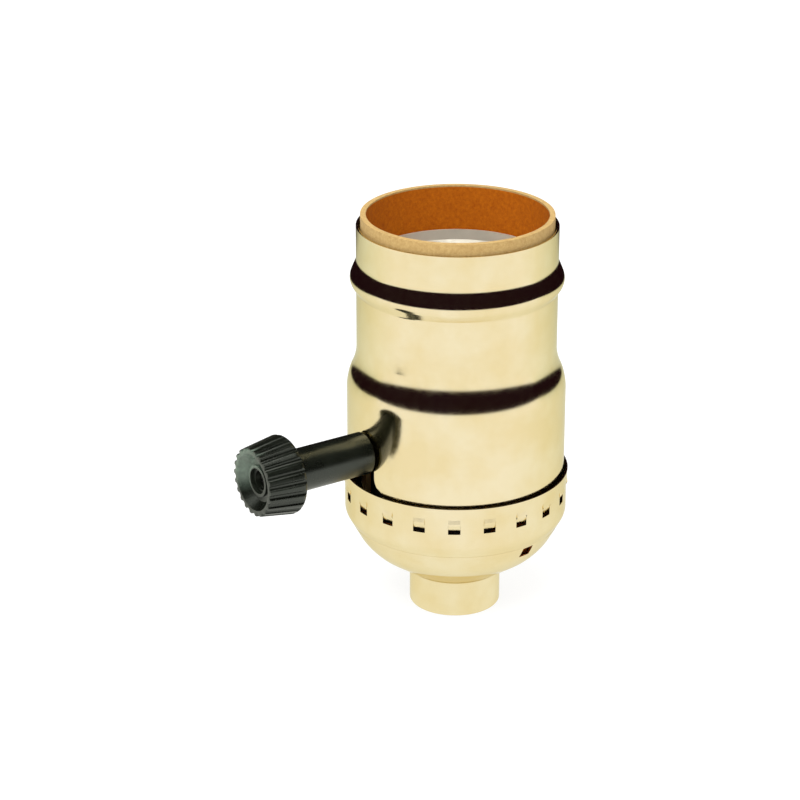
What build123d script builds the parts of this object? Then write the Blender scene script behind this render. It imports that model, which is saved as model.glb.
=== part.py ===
from build123d import *
from math import cos, radians, sin
import os

# A lamp socket for a medium screw base, switched by a turn knob.
# Millimetres. The socket's axis is Z, with z = 0 at the end of the threaded hub.
# The knob's shaft points along -X.

os.makedirs("parts", exist_ok=True)

# Outer shell of drawn brass, measured on its outside
shell_sheet = 0.4
shoulder_step = 1.62
foot_z = 21.9
foot_top_z = 23.6
foot_blend = 2.0
shoulder_below_rim = 25.85
shoulder_rise = 3.55
shoulder_bend = 7.8
rim_z = 66.55
bead_height = 1.02
bead_below_rim = 9.3
bead_crown = 0.95
bead_under = 1.9
bead_over = 2.45
bead_under_bend = 1.8
bead_over_bend = 2.2

# Cap of drawn brass, measured on its outside
cap_sheet = 0.3
rim_gap = 0.35
rim_flare = 0.2
foot_gap = 0.3
cap_rim_z = 24.6
flare_z = 21.4
flare_bend = 4.0
band_z = 17.2
band_bend = 2.0
bowl_step = 3.28
bowl_z = 11.2
bowl_bend = 9.2
hub_r = 7.6
hub_z = 6.15
hub_bend = 1.2
hub_edge = 0.5
hub_lip = 1.6
crease_z = 15.5
crease_r = 0.4
crease_depth = 0.12
cap_hole_angle = -82.0
cap_hole_z = 14.4
cap_hole_width = 2.2
cap_hole_height = 1.9

# Lances: small flaps sheared from the cap's band and bent inward
lance_count = 20
lance_width = 2.0
lance_height = 1.5
lance_length = 1.3
lance_bend = 30.0
lance_below_foot = 0.25
lance_side_gap = 0.12

# Threaded bushing in the hub, for a 1/8 inch lamp pipe
pipe_minor_r = 4.6
bushing_gap = 0.05
bushing_foot = 0.35
bushing_z = 6.2

# Fibre insulators
fibre = 0.8
sleeve_wall = 0.9
sleeve_gap = 0.3
sleeve_room = 1.13
sleeve_z = 68.4
liner_gap = 0.35
liner_band_gap = 1.05
liner_z = 19.6
liner_hole_r = 5.7
liner_bend = 4.0

# Moulded switch housing in two halves, split on the shaft's axis
axis_z = 31.05
housing_gap = 0.55
housing_z = 39.0
flange_t = 1.4
flange_gap = 0.45
seat_gap = 0.3
boss_screw_gap = 1.6
boss_rise = 1.2
floor_hollow = 1.6
floor_hollow_gap = 1.4
floor_rib = 2.0
side_depth = 3.7
side_width = 9.4
side_top_z = 36.6
front_wall = 5.63
back_wall = 7.63
cavity_half = 6.6
cavity_rise = 6.2
cavity_drop = 6.75
journal_depth = 3.0
journal_gap = 0.05

# Shaft slot in the shell and the wider one in the sleeve
slot_half = 2.3
slot_mouth_half = 4.7
slot_mouth_z = 24.2
slot_bend = 2.4
slot_bend_sag = 0.48
sleeve_slot_half = 4.2

# Screw shell for the lamp base
socket_minor_r = 12.45
thread_depth = 0.85
thread_pitch = 3.63
thread_half = 1.15
shell_wall = 0.35
socket_rim_z = 61.0
lip_rise = 1.5
lip_flare = 1.1
thread_from_z = 44.1
thread_turns = 3.7
thread_margin = 1.3
floor_hole_gap = 0.7
floor_corner = 0.9

# Contacts and terminals of brass strip
strip = 0.5
strip_width = 4.0
contact_tip_z = 42.4
contact_play = 0.22
contact_reach = 4.0
contact_rivet_gap = 1.3
contact_foot = 1.4
contact_rivet_r = 1.0
rivet_head_r = 1.7
rivet_head_t = 0.5
terminal_width = 7.6
terminal_foot_z = 22.4
terminal_screw_z = 26.0
terminal_screw_head_r = 3.2
terminal_screw_head_t = 1.7
terminal_screw_r = 1.5
terminal_screw_length = 3.0
driver_slot = 0.8
driver_depth = 0.7
floor_screw_gap = 1.4
floor_screw_head_r = 2.1
floor_screw_head_t = 1.1
floor_screw_r = 1.2
floor_screw_length = 5.0
housing_rivet_r = 1.2
housing_rivet_head_r = 2.0
housing_rivet_edge = 2.24
housing_rivet_angle = 25.7
rivet_sink = 0.8

# Shaft, rotor and detent
shaft_r = 1.59
shaft_collar_r = 2.8
shaft_collar_t = 1.0
shaft_bevel = 0.3
rotor_gap = 0.02
cam_half = 3.3
cam_gap = 1.38
drum_r = 4.2
drum_back = 4.0
drum_front = 2.6
plate_wall = 0.4
plate_half_angle = 50.0
plate_gap = 0.02
contact_gap = 0.3
detent_wall = 0.35
detent_gap = 0.1
detent_width = 3.0
detent_reach = 6.3
detent_flat = 3.4
detent_bend = 1.2

# Knob: fluted head and barrel, one moulding
knob_bore_gap = 0.02
barrel_r = 3.5
barrel_gap = 0.27
barrel_edge = 0.25
head_from = 32.9
head_length = 6.54
head_back_r = 6.65
head_face_r = 5.6
head_edge = 0.6
face_rim = 0.75
face_depth = 1.5
knob_boss_r = 2.6
knob_boss_drop = 0.9
shaft_end_drop = 1.6
flute_count = 22
flute_r = 0.55
flute_depth = 0.38

# How far a cut runs past the material
cut_past = 1.0

# Radii and heights that follow from the sizes above, from the screw shell outwards
major_r = socket_minor_r + thread_depth
shell_outer_r = major_r + shell_wall
lower_inner_r = socket_minor_r + shell_wall
sleeve_r = shell_outer_r + sleeve_room + sleeve_wall
neck_r = sleeve_r + sleeve_gap + shell_sheet
body_r = neck_r + shoulder_step
cap_rim_r = body_r + rim_gap + cap_sheet
band_r = cap_rim_r - rim_flare
bowl_r = band_r - bowl_step
foot_r = band_r - cap_sheet - foot_gap
shoulder_z = rim_z - shoulder_below_rim
bead_z = rim_z - bead_below_rim
lance_z = foot_z - lance_below_foot
lance_tip_r = band_r - cap_sheet - lance_length * sin(radians(lance_bend))
flange_r = lance_tip_r - flange_gap
flange_z = liner_z + flange_t
sleeve_foot_z = flange_z + seat_gap
housing_r = sleeve_r - sleeve_wall - housing_gap
side_y = housing_r - side_depth
cavity_front = housing_r - front_wall
cavity_back = housing_r - back_wall
rivet_circle_r = housing_r - housing_rivet_edge
floor_hollow_r = rivet_circle_r - housing_rivet_head_r - floor_hollow_gap
floor_screw_y = lower_inner_r - floor_screw_head_r - floor_screw_gap
boss_r = floor_screw_y - floor_screw_head_r - boss_screw_gap
contact_rivet_x = cavity_back - rivet_head_r - contact_rivet_gap
cam_length = cavity_front - rotor_gap - shaft_collar_t - cam_gap - drum_front
cavity_top_z = axis_z + cavity_rise
cavity_floor_z = axis_z - cavity_drop
plate_r = drum_r + plate_gap + plate_wall
contact_r = plate_r + contact_gap
boss_z = housing_z + boss_rise
head_face = head_from + head_length
barrel_from = body_r + barrel_gap
shaft_end = head_face - knob_boss_drop - shaft_end_drop

shaft_plane = Plane(origin=(0, 0, axis_z), x_dir=(-1, 0, 0), z_dir=(0, 1, 0))
shaft_axis = Axis((0, 0, axis_z), (-1, 0, 0))


def across(distance):
    """The plane square to the shaft, at a distance out from the socket's axis."""
    return Plane(origin=(-distance, 0, axis_z), x_dir=(0, 1, 0), z_dir=(-1, 0, 0))


# The crease is a shallow groove on the sloping wall between the bowl and the band
bowl_wall = Vector(band_r - bowl_r, band_z - bowl_z).normalized()
crease_x = bowl_r + (crease_z - bowl_z) * bowl_wall.X / bowl_wall.Y
crease_out = crease_r - crease_depth
crease_centre = (crease_x + crease_out * bowl_wall.Y, crease_z - crease_out * bowl_wall.X)

# Cap: one drawn cup with a hub, a crease, lances and a punched hole
with BuildPart() as cap:
    with BuildSketch(Plane.XZ):
        with BuildLine():
            cap_line = FilletPolyline(
                (hub_r - hub_lip, 0),
                (hub_r, 0),
                (hub_r, hub_z),
                (bowl_r, bowl_z),
                (band_r, band_z),
                (band_r, flare_z),
                (cap_rim_r, cap_rim_z),
                radius=[hub_edge, hub_bend, bowl_bend, band_bend, flare_bend],
            )
            offset(cap_line, amount=cap_sheet, side=Side.LEFT)
        make_face()
    revolve(axis=Axis.Z)
    with BuildSketch(Plane.XZ):
        with Locations(crease_centre):
            Circle(crease_r)
    revolve(axis=Axis.Z, mode=Mode.SUBTRACT)
    cap_wall_r = band_r - cap_sheet / 2
    with PolarLocations(cap_wall_r, lance_count, start_angle=180):
        with Locations((0, 0, lance_z - lance_height / 2)):
            Box(cap_sheet + 2 * cut_past, lance_width, lance_height, mode=Mode.SUBTRACT)
    flap_in = lance_length / 2 * sin(radians(lance_bend))
    flap_down = lance_length / 2 * cos(radians(lance_bend))
    with PolarLocations(cap_wall_r - flap_in, lance_count, start_angle=180):
        with Locations((0, 0, lance_z - flap_down + cap_sheet / 4)):
            Box(
                cap_sheet,
                lance_width - 2 * lance_side_gap,
                lance_length,
                rotation=(0, lance_bend, 0),
            )
    with Locations(Rotation(0, 0, cap_hole_angle)):
        with Locations((bowl_r, 0, cap_hole_z)):
            Box(bowl_r / 2, cap_hole_width, cap_hole_height, mode=Mode.SUBTRACT)
cap.part.label = "cap"
export_step(cap.part, "parts/cap.step")

# Threaded bushing held in the hub by the hub's turned-in edge
with BuildPart() as cap_bushing:
    with Locations((0, 0, bushing_foot)):
        Cylinder(
            hub_r - cap_sheet - bushing_gap,
            bushing_z - bushing_foot,
            align=(Align.CENTER, Align.CENTER, Align.MIN),
        )
    chamfer(cap_bushing.faces().sort_by(Axis.Z)[0].edges(), length=hub_edge)
    with Locations((0, 0, bushing_z)):
        Hole(pipe_minor_r)
cap_bushing.part.label = "cap_bushing"
export_step(cap_bushing.part, "parts/cap_bushing.step")

# Fibre liner of the cap: a dished cup with a hole for the wires
liner_lift = cap_sheet + liner_gap
liner_band_r = band_r - cap_sheet - liner_band_gap
with BuildPart() as cap_liner:
    with BuildSketch(Plane.XZ):
        with BuildLine():
            liner_line = FilletPolyline(
                (liner_hole_r, bushing_z + liner_gap),
                (bowl_r - liner_lift, bowl_z + liner_lift),
                (liner_band_r, band_z),
                (liner_band_r, liner_z),
                radius=[liner_bend, liner_lift],
            )
            offset(liner_line, amount=fibre, side=Side.LEFT)
        make_face()
    revolve(axis=Axis.Z)
cap_liner.part.label = "cap_liner"
export_step(cap_liner.part, "parts/cap_liner.step")

# Outer shell: one drawn tube with a shoulder, a bead and the shaft's slot
with BuildPart() as outer_shell:
    with BuildSketch(Plane.XZ):
        with BuildLine():
            shell_line = FilletPolyline(
                (foot_r, foot_z),
                (foot_r, foot_top_z),
                (body_r, foot_top_z + foot_blend),
                (body_r, shoulder_z),
                (neck_r, shoulder_z + shoulder_rise),
                (neck_r, bead_z - bead_under),
                (neck_r + bead_height, bead_z),
                (neck_r + bead_height, bead_z + bead_crown),
                (neck_r, bead_z + bead_crown + bead_over),
                (neck_r, rim_z),
                radius=[
                    foot_blend,
                    foot_blend,
                    shoulder_bend,
                    shoulder_bend,
                    bead_under_bend,
                    bead_under_bend,
                    bead_over_bend,
                    bead_over_bend,
                ],
            )
            offset(shell_line, amount=shell_sheet, side=Side.LEFT)
        make_face()
    revolve(axis=Axis.Z)
    with BuildSketch(Plane.YZ):
        with BuildLine():
            Polyline(
                (-slot_half, axis_z),
                (-slot_half, slot_mouth_z + slot_bend),
            )
            SagittaArc(
                (-slot_half, slot_mouth_z + slot_bend),
                (-slot_mouth_half, slot_mouth_z),
                slot_bend_sag,
            )
            Polyline(
                (-slot_mouth_half, slot_mouth_z),
                (-slot_mouth_half, foot_z - cut_past),
                (slot_mouth_half, foot_z - cut_past),
                (slot_mouth_half, slot_mouth_z),
            )
            SagittaArc(
                (slot_mouth_half, slot_mouth_z),
                (slot_half, slot_mouth_z + slot_bend),
                slot_bend_sag,
            )
            Polyline(
                (slot_half, slot_mouth_z + slot_bend),
                (slot_half, axis_z),
            )
            ThreePointArc((slot_half, axis_z), (0, axis_z + slot_half), (-slot_half, axis_z))
        make_face()
    extrude(amount=-2 * body_r, mode=Mode.SUBTRACT)
outer_shell.part.label = "outer_shell"
export_step(outer_shell.part, "parts/outer_shell.step")

# Insulating sleeve: a straight fibre tube that stands above the shell's rim
with BuildPart() as insulating_sleeve:
    with BuildSketch(Plane.XY.offset(sleeve_foot_z)):
        Circle(sleeve_r)
        Circle(sleeve_r - sleeve_wall, mode=Mode.SUBTRACT)
    extrude(amount=sleeve_z - sleeve_foot_z)
    with BuildSketch(Plane.YZ):
        with Locations((0, axis_z)):
            Circle(sleeve_slot_half)
            Rectangle(
                2 * sleeve_slot_half,
                axis_z - sleeve_foot_z + cut_past,
                align=(Align.CENTER, Align.MAX),
            )
    extrude(amount=-2 * sleeve_r, mode=Mode.SUBTRACT)
insulating_sleeve.part.label = "insulating_sleeve"
export_step(insulating_sleeve.part, "parts/insulating_sleeve.step")

# Lower half of the switch housing, with the flange that sits on the cap's liner
shaft_bore_r = shaft_r + journal_gap
cavity_length = cavity_front + cavity_back
cavity_x = (cavity_back - cavity_front) / 2
rivet_x = rivet_circle_r * cos(radians(housing_rivet_angle))
rivet_y = rivet_circle_r * sin(radians(housing_rivet_angle))
rivet_places = [(x, y) for x in (-rivet_x, rivet_x) for y in (-rivet_y, rivet_y)]
with BuildPart() as housing_base:
    with BuildSketch(Plane.XY.offset(liner_z)):
        Circle(flange_r)
    extrude(amount=flange_t)
    with BuildSketch(Plane.XY.offset(flange_z)):
        Circle(housing_r)
    extrude(amount=axis_z - flange_z)
    with BuildSketch(Plane.XY.offset(liner_z)):
        Circle(floor_hollow_r)
        Rectangle(floor_rib, 2 * floor_hollow_r, mode=Mode.SUBTRACT)
        Rectangle(2 * floor_hollow_r, floor_rib, mode=Mode.SUBTRACT)
    extrude(amount=floor_hollow, mode=Mode.SUBTRACT)
    with Locations((0, side_y, axis_z), (0, -side_y - 2 * side_depth, axis_z)):
        Box(
            side_width,
            2 * side_depth,
            4 * housing_z,
            align=(Align.CENTER, Align.MIN, Align.CENTER),
            mode=Mode.SUBTRACT,
        )
    with Locations((cavity_x, 0, cavity_floor_z)):
        Box(
            cavity_length,
            2 * cavity_half,
            cavity_drop,
            align=(Align.CENTER, Align.CENTER, Align.MIN),
            mode=Mode.SUBTRACT,
        )
    with Locations((0, -cavity_half + cut_past, axis_z)):
        Box(
            strip_width + 2 * journal_gap,
            side_y,
            strip + 2 * journal_gap,
            align=(Align.CENTER, Align.MAX, Align.MAX),
            mode=Mode.SUBTRACT,
        )
    with BuildSketch(across(-cavity_back - journal_depth)):
        Circle(shaft_bore_r)
    extrude(amount=2 * housing_r, mode=Mode.SUBTRACT)
    with Locations(*[(x, y, axis_z) for x, y in rivet_places]):
        Hole(housing_rivet_r)
    with BuildSketch(Plane.XY.offset(liner_z)):
        with Locations(*rivet_places):
            Circle(housing_rivet_head_r + journal_gap)
    extrude(amount=rivet_sink, mode=Mode.SUBTRACT)
    with Locations((0, side_y, terminal_screw_z), (0, -side_y, terminal_screw_z)):
        Cylinder(
            terminal_screw_r,
            2 * terminal_screw_length,
            rotation=(90, 0, 0),
            mode=Mode.SUBTRACT,
        )
housing_base.part.label = "housing_base"
export_step(housing_base.part, "parts/housing_base.step")

# Upper half of the switch housing, with the boss that carries the centre contact
with BuildPart() as switch_housing:
    with BuildSketch(Plane.XY.offset(axis_z)):
        Circle(housing_r)
    extrude(amount=housing_z - axis_z)
    with BuildSketch(Plane.XY.offset(housing_z)):
        Circle(boss_r)
    extrude(amount=boss_rise)
    with Locations((0, side_y, side_top_z), (0, -side_y - 2 * side_depth, side_top_z)):
        Box(
            side_width,
            2 * side_depth,
            housing_z,
            align=(Align.CENTER, Align.MIN, Align.MAX),
            mode=Mode.SUBTRACT,
        )
    with Locations((0, side_y, axis_z)):
        Box(
            strip_width + 2 * journal_gap,
            2 * side_depth,
            2 * (housing_z - axis_z),
            align=(Align.CENTER, Align.MIN, Align.MIN),
            mode=Mode.SUBTRACT,
        )
    with Locations((0, floor_screw_y - floor_screw_head_r - strip, housing_z)):
        Box(
            strip_width + 2 * journal_gap,
            2 * side_depth,
            2 * strip,
            align=(Align.CENTER, Align.MIN, Align.CENTER),
            mode=Mode.SUBTRACT,
        )
    with Locations((cavity_x, 0, axis_z)):
        Box(
            cavity_length,
            2 * cavity_half,
            cavity_rise,
            align=(Align.CENTER, Align.CENTER, Align.MIN),
            mode=Mode.SUBTRACT,
        )
    with BuildSketch(across(-cavity_back - journal_depth)):
        Circle(shaft_bore_r)
    extrude(amount=2 * housing_r, mode=Mode.SUBTRACT)
    with Locations(*[(x, y, housing_z) for x, y in rivet_places]):
        Hole(housing_rivet_r)
    with Locations((contact_rivet_x, 0, boss_z)):
        Hole(contact_rivet_r)
    with Locations((0, -floor_screw_y, housing_z), (0, floor_screw_y, housing_z)):
        Hole(floor_screw_r, depth=floor_screw_length)
switch_housing.part.label = "switch_housing"
export_step(switch_housing.part, "parts/switch_housing.step")

# Four tubular rivets that clamp the two halves
rivet_foot_z = liner_z + rivet_sink
with BuildPart() as housing_rivets:
    for x, y in rivet_places:
        with BuildSketch(Plane.XY.offset(rivet_foot_z)):
            with Locations((x, y)):
                Circle(housing_rivet_r - rotor_gap)
        extrude(amount=housing_z - rivet_foot_z)
        with BuildSketch(Plane.XY.offset(rivet_foot_z - rivet_head_t)):
            with Locations((x, y)):
                Circle(housing_rivet_head_r)
        extrude(amount=rivet_head_t)
housing_rivets.part.label = "housing_rivets"
export_step(housing_rivets.part, "parts/housing_rivets.step")

# Screw shell: a cup of thin brass with a rolled thread, a flared lip and an open floor
thread_top_z = thread_from_z + thread_turns * thread_pitch
groove_depth = thread_depth + shell_wall
wall_foot_z = thread_from_z - thread_margin
wall_top_z = thread_top_z + thread_margin
lip_z = socket_rim_z - lip_rise
# The inner groove bottoms on the major radius, and the outer one, half a pitch on, on the minor radius
grooves = [
    (thread_from_z, major_r, major_r - groove_depth),
    (thread_from_z + thread_pitch / 2, lower_inner_r, lower_inner_r + groove_depth),
]
with BuildPart() as screw_shell:
    with BuildSketch(Plane.XZ):
        with BuildLine():
            Polyline(
                (boss_r + floor_hole_gap, housing_z),
                (lower_inner_r + shell_wall - floor_corner, housing_z),
                (lower_inner_r + shell_wall, housing_z + floor_corner),
                (lower_inner_r + shell_wall, wall_foot_z - shell_wall),
                (shell_outer_r, wall_foot_z + thread_depth / 2),
                (shell_outer_r, lip_z),
                (shell_outer_r + lip_flare / 2, socket_rim_z),
                (shell_outer_r + lip_flare / 2 - shell_wall, socket_rim_z),
                (major_r, lip_z),
                (socket_minor_r, wall_top_z),
                (socket_minor_r, wall_foot_z),
                (lower_inner_r, wall_foot_z - shell_wall),
                (lower_inner_r, housing_z + floor_corner),
                (lower_inner_r - floor_corner + shell_wall, housing_z + shell_wall),
                (boss_r + floor_hole_gap, housing_z + shell_wall),
                close=True,
            )
        make_face()
    revolve(axis=Axis.Z)
    for start_z, bottom_r, mouth_r in grooves:
        with BuildLine():
            path = Helix(
                pitch=thread_pitch,
                height=thread_top_z - start_z,
                radius=socket_minor_r,
                center=(0, 0, start_z),
            )
        bottom = bottom_r - socket_minor_r
        mouth = mouth_r - socket_minor_r
        with BuildSketch(Plane(origin=path @ 0, x_dir=(1, 0, 0), z_dir=path % 0)):
            with BuildLine():
                ThreePointArc((mouth, -thread_half), (bottom, 0), (mouth, thread_half))
                Line((mouth, thread_half), (mouth, -thread_half))
            make_face()
        sweep(path=path, is_frenet=True, mode=Mode.SUBTRACT)
    with Locations((0, floor_screw_y, housing_z), (0, -floor_screw_y, housing_z)):
        Cylinder(floor_screw_r, 4 * shell_wall, mode=Mode.SUBTRACT)
screw_shell.part.label = "screw_shell"
export_step(screw_shell.part, "parts/screw_shell.step")

# Two screws that hold the screw shell to the housing
with BuildPart() as shell_screws:
    for y in (-floor_screw_y, floor_screw_y):
        with BuildSketch(Plane.XY.offset(housing_z + shell_wall)):
            with Locations((0, y)):
                Circle(floor_screw_head_r)
        extrude(amount=floor_screw_head_t)
        with BuildSketch(Plane.XY.offset(housing_z + shell_wall)):
            with Locations((0, y)):
                Circle(floor_screw_r - rotor_gap)
        extrude(amount=-(floor_screw_length - shell_wall))
        with Locations((0, y, housing_z + shell_wall + floor_screw_head_t)):
            Box(
                3 * floor_screw_head_r,
                driver_slot,
                driver_depth,
                align=(Align.CENTER, Align.CENTER, Align.MAX),
                mode=Mode.SUBTRACT,
            )
shell_screws.part.label = "shell_screws"
export_step(shell_screws.part, "parts/shell_screws.step")

# Centre contact: a sprung leaf riveted at one end and raised to meet the lamp's tip
leaf_z = boss_z + contact_play + strip / 2
with BuildPart() as centre_contact:
    with BuildSketch(Plane.XZ):
        with BuildLine():
            leaf_line = FilletPolyline(
                (contact_rivet_x + rivet_head_r, leaf_z),
                (contact_rivet_x - rivet_head_r, leaf_z),
                (-contact_reach / 2, contact_tip_z - strip / 2),
                (-contact_reach, contact_tip_z - 2 * strip),
                radius=[strip * 2, strip * 2],
            )
            offset(leaf_line, amount=strip / 2, side=Side.BOTH)
        make_face()
    extrude(amount=strip_width / 2, both=True)
    with Locations((contact_rivet_x, 0, boss_z + contact_play + strip)):
        Hole(contact_rivet_r + contact_play / 2, depth=2 * strip)
centre_contact.part.label = "centre_contact"
export_step(centre_contact.part, "parts/centre_contact.step")

# Rivet through the boss: it joins the centre contact to the switch's fixed contact
rivet_top_z = boss_z + strip + 2 * contact_play
with BuildPart() as contact_rivet:
    with BuildSketch(Plane.XY.offset(cavity_top_z - strip)):
        with Locations((contact_rivet_x, 0)):
            Circle(contact_rivet_r - rotor_gap)
    extrude(amount=rivet_top_z + strip - cavity_top_z)
    for z in (cavity_top_z - strip - rivet_head_t, rivet_top_z):
        with BuildSketch(Plane.XY.offset(z)):
            with Locations((contact_rivet_x, 0)):
                Circle(rivet_head_r)
        extrude(amount=rivet_head_t)
contact_rivet.part.label = "contact_rivet"
export_step(contact_rivet.part, "parts/contact_rivet.step")

# Fixed contact on the switch cavity's ceiling, with a foot over the rotor
foot_end_x = contact_rivet_x - rivet_head_r - 2 * strip - contact_foot
with BuildPart() as fixed_contact:
    with BuildSketch(Plane.XZ):
        with BuildLine():
            fixed_line = FilletPolyline(
                (contact_rivet_x + rivet_head_r, cavity_top_z - strip / 2),
                (contact_rivet_x - rivet_head_r - strip, cavity_top_z - strip / 2),
                (contact_rivet_x - rivet_head_r - 2 * strip, axis_z + contact_r + strip / 2),
                (foot_end_x, axis_z + contact_r + strip / 2),
                (foot_end_x - strip, cavity_top_z - strip),
                radius=[strip / 2, strip / 2, strip / 2],
            )
            offset(fixed_line, amount=strip / 2, side=Side.BOTH)
        make_face()
    extrude(amount=strip_width / 2, both=True)
    with Locations((contact_rivet_x, 0, cavity_top_z)):
        Hole(contact_rivet_r + rotor_gap, depth=2 * strip)
fixed_contact.part.label = "fixed_contact"
export_step(fixed_contact.part, "parts/fixed_contact.step")

# Line terminal: a plate under the brass screw, with a blade that reaches the rotor
plate_y = side_y + strip / 2
with BuildPart() as line_terminal:
    with BuildSketch(Plane.YZ):
        with BuildLine():
            blade_line = FilletPolyline(
                (-plate_y, terminal_foot_z),
                (-plate_y, axis_z - journal_gap - strip / 2),
                (-contact_r - strip / 2, axis_z - journal_gap - strip / 2),
                (-contact_r - strip / 2, axis_z + strip_width / 2),
                radius=[strip / 2 + journal_gap, strip / 2 + journal_gap],
            )
            offset(blade_line, amount=strip / 2, side=Side.BOTH)
        make_face()
    extrude(amount=strip_width / 2, both=True)
    with Locations((0, -plate_y, terminal_foot_z)):
        Box(
            terminal_width,
            strip,
            2 * (terminal_screw_z - terminal_foot_z),
            align=(Align.CENTER, Align.CENTER, Align.MIN),
        )
    with Locations((0, -plate_y, terminal_screw_z)):
        Cylinder(terminal_screw_r, 2 * strip, rotation=(90, 0, 0), mode=Mode.SUBTRACT)
line_terminal.part.label = "line_terminal"
export_step(line_terminal.part, "parts/line_terminal.step")

# Neutral strap: from the plate under the silver screw up to the screw shell's floor
with BuildPart() as neutral_strap:
    with BuildSketch(Plane.YZ):
        with BuildLine():
            strap_line = FilletPolyline(
                (plate_y, terminal_foot_z),
                (plate_y, housing_z - strip / 2),
                (floor_screw_y - floor_screw_head_r + journal_gap, housing_z - strip / 2),
                radius=[strip / 2 + journal_gap],
            )
            offset(strap_line, amount=strip / 2, side=Side.BOTH)
        make_face()
    extrude(amount=strip_width / 2, both=True)
    with Locations((0, plate_y, terminal_foot_z)):
        Box(
            terminal_width,
            strip,
            2 * (terminal_screw_z - terminal_foot_z),
            align=(Align.CENTER, Align.CENTER, Align.MIN),
        )
    with Locations((0, plate_y, terminal_screw_z)):
        Cylinder(terminal_screw_r, 2 * strip, rotation=(90, 0, 0), mode=Mode.SUBTRACT)
    with Locations((0, floor_screw_y, housing_z)):
        Cylinder(floor_screw_r, 4 * strip, mode=Mode.SUBTRACT)
neutral_strap.part.label = "neutral_strap"
export_step(neutral_strap.part, "parts/neutral_strap.step")


def terminal_screw(turn):
    """A terminal screw on the side of the housing, turned about the socket's axis."""
    with BuildPart() as screw:
        seat = Plane(
            origin=(0, side_y + strip, terminal_screw_z), x_dir=(1, 0, 0), z_dir=(0, 1, 0)
        )
        with BuildSketch(seat):
            Circle(terminal_screw_head_r)
        extrude(amount=terminal_screw_head_t)
        fillet(screw.faces().sort_by(Axis.Y)[-1].edges(), radius=terminal_screw_head_t / 4)
        with BuildSketch(seat):
            Circle(terminal_screw_r - rotor_gap)
        extrude(amount=-(terminal_screw_length + strip))
        with Locations((0, side_y + strip + terminal_screw_head_t, terminal_screw_z)):
            Box(
                3 * terminal_screw_head_r,
                2 * driver_depth,
                driver_slot,
                mode=Mode.SUBTRACT,
            )
    return screw.part.rotate(Axis.Z, turn)


neutral_screw = terminal_screw(0)
neutral_screw.label = "neutral_screw"
export_step(neutral_screw, "parts/neutral_screw.step")
line_screw = terminal_screw(180)
line_screw.label = "line_screw"
export_step(line_screw, "parts/line_screw.step")

# Shaft: a turned rod with a collar that keeps it in the housing
with BuildPart() as switch_shaft:
    with BuildSketch(across(-cavity_back - journal_depth + shaft_bevel)):
        Circle(shaft_r)
    extrude(amount=shaft_end + cavity_back + journal_depth - shaft_bevel)
    chamfer(switch_shaft.edges().filter_by(GeomType.CIRCLE), length=shaft_bevel)
    with BuildSketch(across(cavity_front - rotor_gap - shaft_collar_t)):
        Circle(shaft_collar_r)
    extrude(amount=shaft_collar_t - journal_gap)
switch_shaft.part.label = "switch_shaft"
export_step(switch_shaft.part, "parts/switch_shaft.step")

# Rotor: a moulded drum for the moving contacts and a square cam for the detent
with BuildPart() as switch_rotor:
    with BuildSketch(across(-drum_back)):
        Circle(drum_r)
    extrude(amount=drum_back + drum_front)
    with BuildSketch(across(drum_front)):
        Circle(drum_r)
        Rectangle(2 * cam_half, 2 * cam_half, mode=Mode.INTERSECT)
    extrude(amount=cam_length)
    with BuildSketch(across(-drum_back)):
        Circle(shaft_r + rotor_gap)
    extrude(amount=drum_back + drum_front + cam_length, mode=Mode.SUBTRACT)
switch_rotor.part.label = "switch_rotor"
export_step(switch_rotor.part, "parts/switch_rotor.step")

# Moving contacts: two brass plates on opposite sides of the drum
with BuildPart() as moving_contacts:
    for middle in (135, 315):
        inner_r = drum_r + plate_gap
        with BuildSketch(across(-strip_width / 2)):
            with BuildLine():
                outer_arc = CenterArc((0, 0), plate_r, middle - plate_half_angle, 2 * plate_half_angle)
                inner_arc = CenterArc((0, 0), inner_r, middle - plate_half_angle, 2 * plate_half_angle)
                Line(outer_arc @ 0, inner_arc @ 0)
                Line(outer_arc @ 1, inner_arc @ 1)
            make_face()
        extrude(amount=strip_width)
moving_contacts.part.label = "moving_contacts"
export_step(moving_contacts.part, "parts/moving_contacts.step")

# Detent spring: a bowed leaf under the cam, standing on the cavity's floor
detent_top_z = axis_z - cam_half - detent_gap
cam_middle = drum_front + cam_length / 2
with BuildPart() as detent_spring:
    with BuildSketch(Plane.YZ.offset(-cam_middle)):
        with BuildLine():
            spring_line = FilletPolyline(
                (-detent_reach, cavity_floor_z + detent_wall / 2),
                (-detent_flat - detent_bend, cavity_floor_z + detent_wall / 2),
                (-detent_flat, detent_top_z - detent_wall / 2),
                (detent_flat, detent_top_z - detent_wall / 2),
                (detent_flat + detent_bend, cavity_floor_z + detent_wall / 2),
                (detent_reach, cavity_floor_z + detent_wall / 2),
                radius=detent_bend / 2,
            )
            offset(spring_line, amount=detent_wall / 2, side=Side.BOTH)
        make_face()
    extrude(amount=detent_width / 2, both=True)
detent_spring.part.label = "detent_spring"
export_step(detent_spring.part, "parts/detent_spring.step")

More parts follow.
